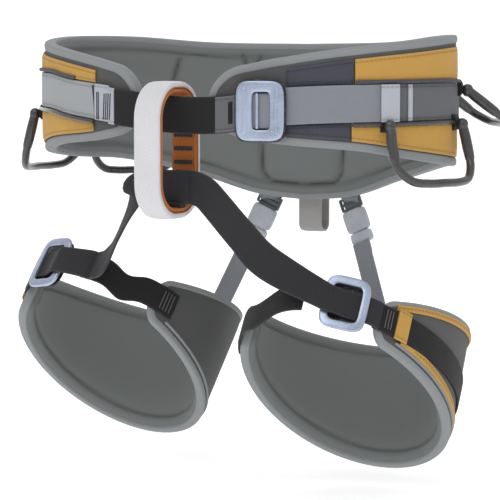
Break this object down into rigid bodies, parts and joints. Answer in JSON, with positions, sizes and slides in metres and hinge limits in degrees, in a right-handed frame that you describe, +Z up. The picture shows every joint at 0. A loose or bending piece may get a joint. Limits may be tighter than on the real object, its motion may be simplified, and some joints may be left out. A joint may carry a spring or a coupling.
{
  "type": "climbing harness",
  "caption": "Sit harness for climbing: padded waist belt with buckle, belay loop, two padded leg loops with buckles, gear loops, haul loop and rear risers.",
  "frame": {"origin": "centre of the waist opening, at the level where the belt is measured", "axes": "+Z up along the wearer's body, -Y the way the wearer faces, +X the side that carries the waist buckle"},
  "size_m": [0.3639, 0.2514, 0.305],
  "materials": {
    "lining": "smooth brushed knit lining over foam",
    "shell": "matt woven ripstop",
    "binding": "folded grosgrain edge tape with a light piping",
    "gold": "matt woven nylon, gold",
    "slate": "matt woven nylon, slate",
    "band": "flat woven band",
    "tab": "light woven tape with dark bar tacks",
    "black": "tight flat webbing",
    "strap": "tight flat webbing, worn smooth",
    "white": "thick tubular webbing, off white",
    "orange": "woven wear tape, orange",
    "grey": "flat woven tape",
    "haul": "flat woven tape, warm grey",
    "plastic": "moulded tube, glossy",
    "clip": "moulded acetal",
    "glide": "moulded acetal, dark",
    "alloy": "tumbled anodised forging",
    "dark_alloy": "dark coated plate"
  },
  "bodies": {
    "waist_belt": {"waist_pad": "lining", "waist_shell": "shell", "waist_top_binding": "binding", "waist_bottom_binding": "binding", "waist_band": "band", "right_upper_panel": "gold", "right_lower_panel": "gold", "right_fore_upper_panel": "slate", "right_fore_lower_panel": "slate", "left_upper_panel": "gold", "left_lower_panel": "gold", "right_upper_piping": "plastic", "right_gear_rail": "plastic", "left_upper_piping": "plastic", "left_gear_rail": "plastic", "tie_in_tab": "tab", "front_webbing": "black", "tail_webbing": "grey", "tail_keeper": "tab", "waist_buckle_base": "dark_alloy", "leg_bridge": "strap", "left_riser_tab": "grey", "left_riser_glide": "glide", "left_riser_clip_socket": "clip", "left_riser_elastic": "grey", "right_riser_tab": "grey", "right_riser_glide": "glide", "right_riser_clip_socket": "clip", "right_riser_elastic": "grey"},
    "waist_buckle": {"waist_buckle_frame": "alloy"},
    "belay_loop": {"belay_loop_webbing": "white", "belay_loop_lining": "orange"},
    "right_front_gear_loop": {"right_front_gear_loop": "plastic"},
    "right_rear_gear_loop": {"right_rear_gear_loop": "plastic"},
    "left_front_gear_loop": {"left_front_gear_loop": "plastic"},
    "left_rear_gear_loop": {"left_rear_gear_loop": "plastic"},
    "haul_loop": {"haul_loop": "haul"},
    "left_leg_buckle": {"left_leg_buckle_frame": "alloy"},
    "right_leg_buckle": {"right_leg_buckle_frame": "alloy"},
    "left_riser_plug": {"left_riser_clip_plug": "clip"},
    "right_riser_plug": {"right_riser_clip_plug": "clip"},
    "left_leg_loop": {"left_leg_pad": "lining", "left_leg_shell": "shell", "left_leg_outer_webbing": "black", "left_leg_keeper": "gold", "left_leg_trim": "gold", "left_leg_inner_strap": "black", "left_leg_buckle_base": "dark_alloy", "left_leg_strap": "strap"},
    "right_leg_loop": {"right_leg_pad": "lining", "right_leg_shell": "shell", "right_leg_outer_webbing": "black", "right_leg_keeper": "gold", "right_leg_trim": "gold", "right_leg_inner_strap": "black", "right_leg_buckle_base": "dark_alloy", "right_leg_strap": "strap"}
  },
  "joints": [
    {"name": "waist_buckle_tilt", "type": "hinge", "parent": "waist_belt", "child": "waist_buckle", "pos_m": [0.04821, -0.10494, 0.0105], "axis": [0, 0, -1], "range_deg": [0, 25]},
    {"name": "belay_loop_swing", "type": "hinge", "parent": "waist_belt", "child": "belay_loop", "pos_m": [-0.004, -0.1051, 0.019], "axis": [1, 0, 0], "range_deg": [-8, 8]},
    {"name": "left_leg_swing", "type": "hinge", "parent": "waist_belt", "child": "left_leg_loop", "pos_m": [0, -0.101, -0.041], "axis": [1, 0, 0], "range_deg": [-10, 15], "stiffness_Nm_per_rad": 3, "deforming": ["left_riser_elastic"]},
    {"name": "right_leg_swing", "type": "hinge", "parent": "waist_belt", "child": "right_leg_loop", "pos_m": [0, -0.101, -0.041], "axis": [1, 0, 0], "range_deg": [-10, 15], "stiffness_Nm_per_rad": 3, "deforming": ["right_riser_elastic"]},
    {"name": "left_leg_buckle_tilt", "type": "hinge", "parent": "left_leg_loop", "child": "left_leg_buckle", "pos_m": [-0.1047, -0.08005, -0.09825], "axis": [0.091, 0.585, 0.8059], "range_deg": [0, 16]},
    {"name": "right_leg_buckle_tilt", "type": "hinge", "parent": "right_leg_loop", "child": "right_leg_buckle", "pos_m": [0.10547, -0.08553, -0.11378], "axis": [0.0678, -0.6005, -0.7967], "range_deg": [0, 16]},
    {"name": "right_front_gear_loop_swing", "type": "hinge", "parent": "waist_belt", "child": "right_front_gear_loop", "pos_m": [0.15155, -0.02613, 0], "axis": [-0.3548, -0.9349, 0], "range_deg": [-4, 50], "stiffness_Nm_per_rad": 0.2},
    {"name": "right_rear_gear_loop_swing", "type": "hinge", "parent": "waist_belt", "child": "right_rear_gear_loop", "pos_m": [0.14148, 0.04778, 0.023], "axis": [0.5979, -0.8016, 0], "range_deg": [-35, 15], "stiffness_Nm_per_rad": 0.2},
    {"name": "left_front_gear_loop_swing", "type": "hinge", "parent": "waist_belt", "child": "left_front_gear_loop", "pos_m": [-0.15541, 0, 0.004], "axis": [0, 1, 0], "range_deg": [-4, 50], "stiffness_Nm_per_rad": 0.2},
    {"name": "left_rear_gear_loop_swing", "type": "hinge", "parent": "waist_belt", "child": "left_rear_gear_loop", "pos_m": [-0.12753, 0.06406, -0.004], "axis": [0.7442, 0.668, 0], "range_deg": [-4, 50], "stiffness_Nm_per_rad": 0.2},
    {"name": "haul_loop_swing", "type": "hinge", "parent": "waist_belt", "child": "haul_loop", "pos_m": [0, 0.1095, -0.045], "axis": [1, 0, 0], "range_deg": [0, 35], "stiffness_Nm_per_rad": 0.02},
    {"name": "left_riser_release", "type": "slide", "parent": "waist_belt", "child": "left_riser_plug", "axis": [-0.4265, -0.0614, -0.9024], "range_m": [0, 0.012]},
    {"name": "right_riser_release", "type": "slide", "parent": "waist_belt", "child": "right_riser_plug", "axis": [0.3717, -0.0535, -0.9268], "range_m": [0, 0.012]}
  ]
}
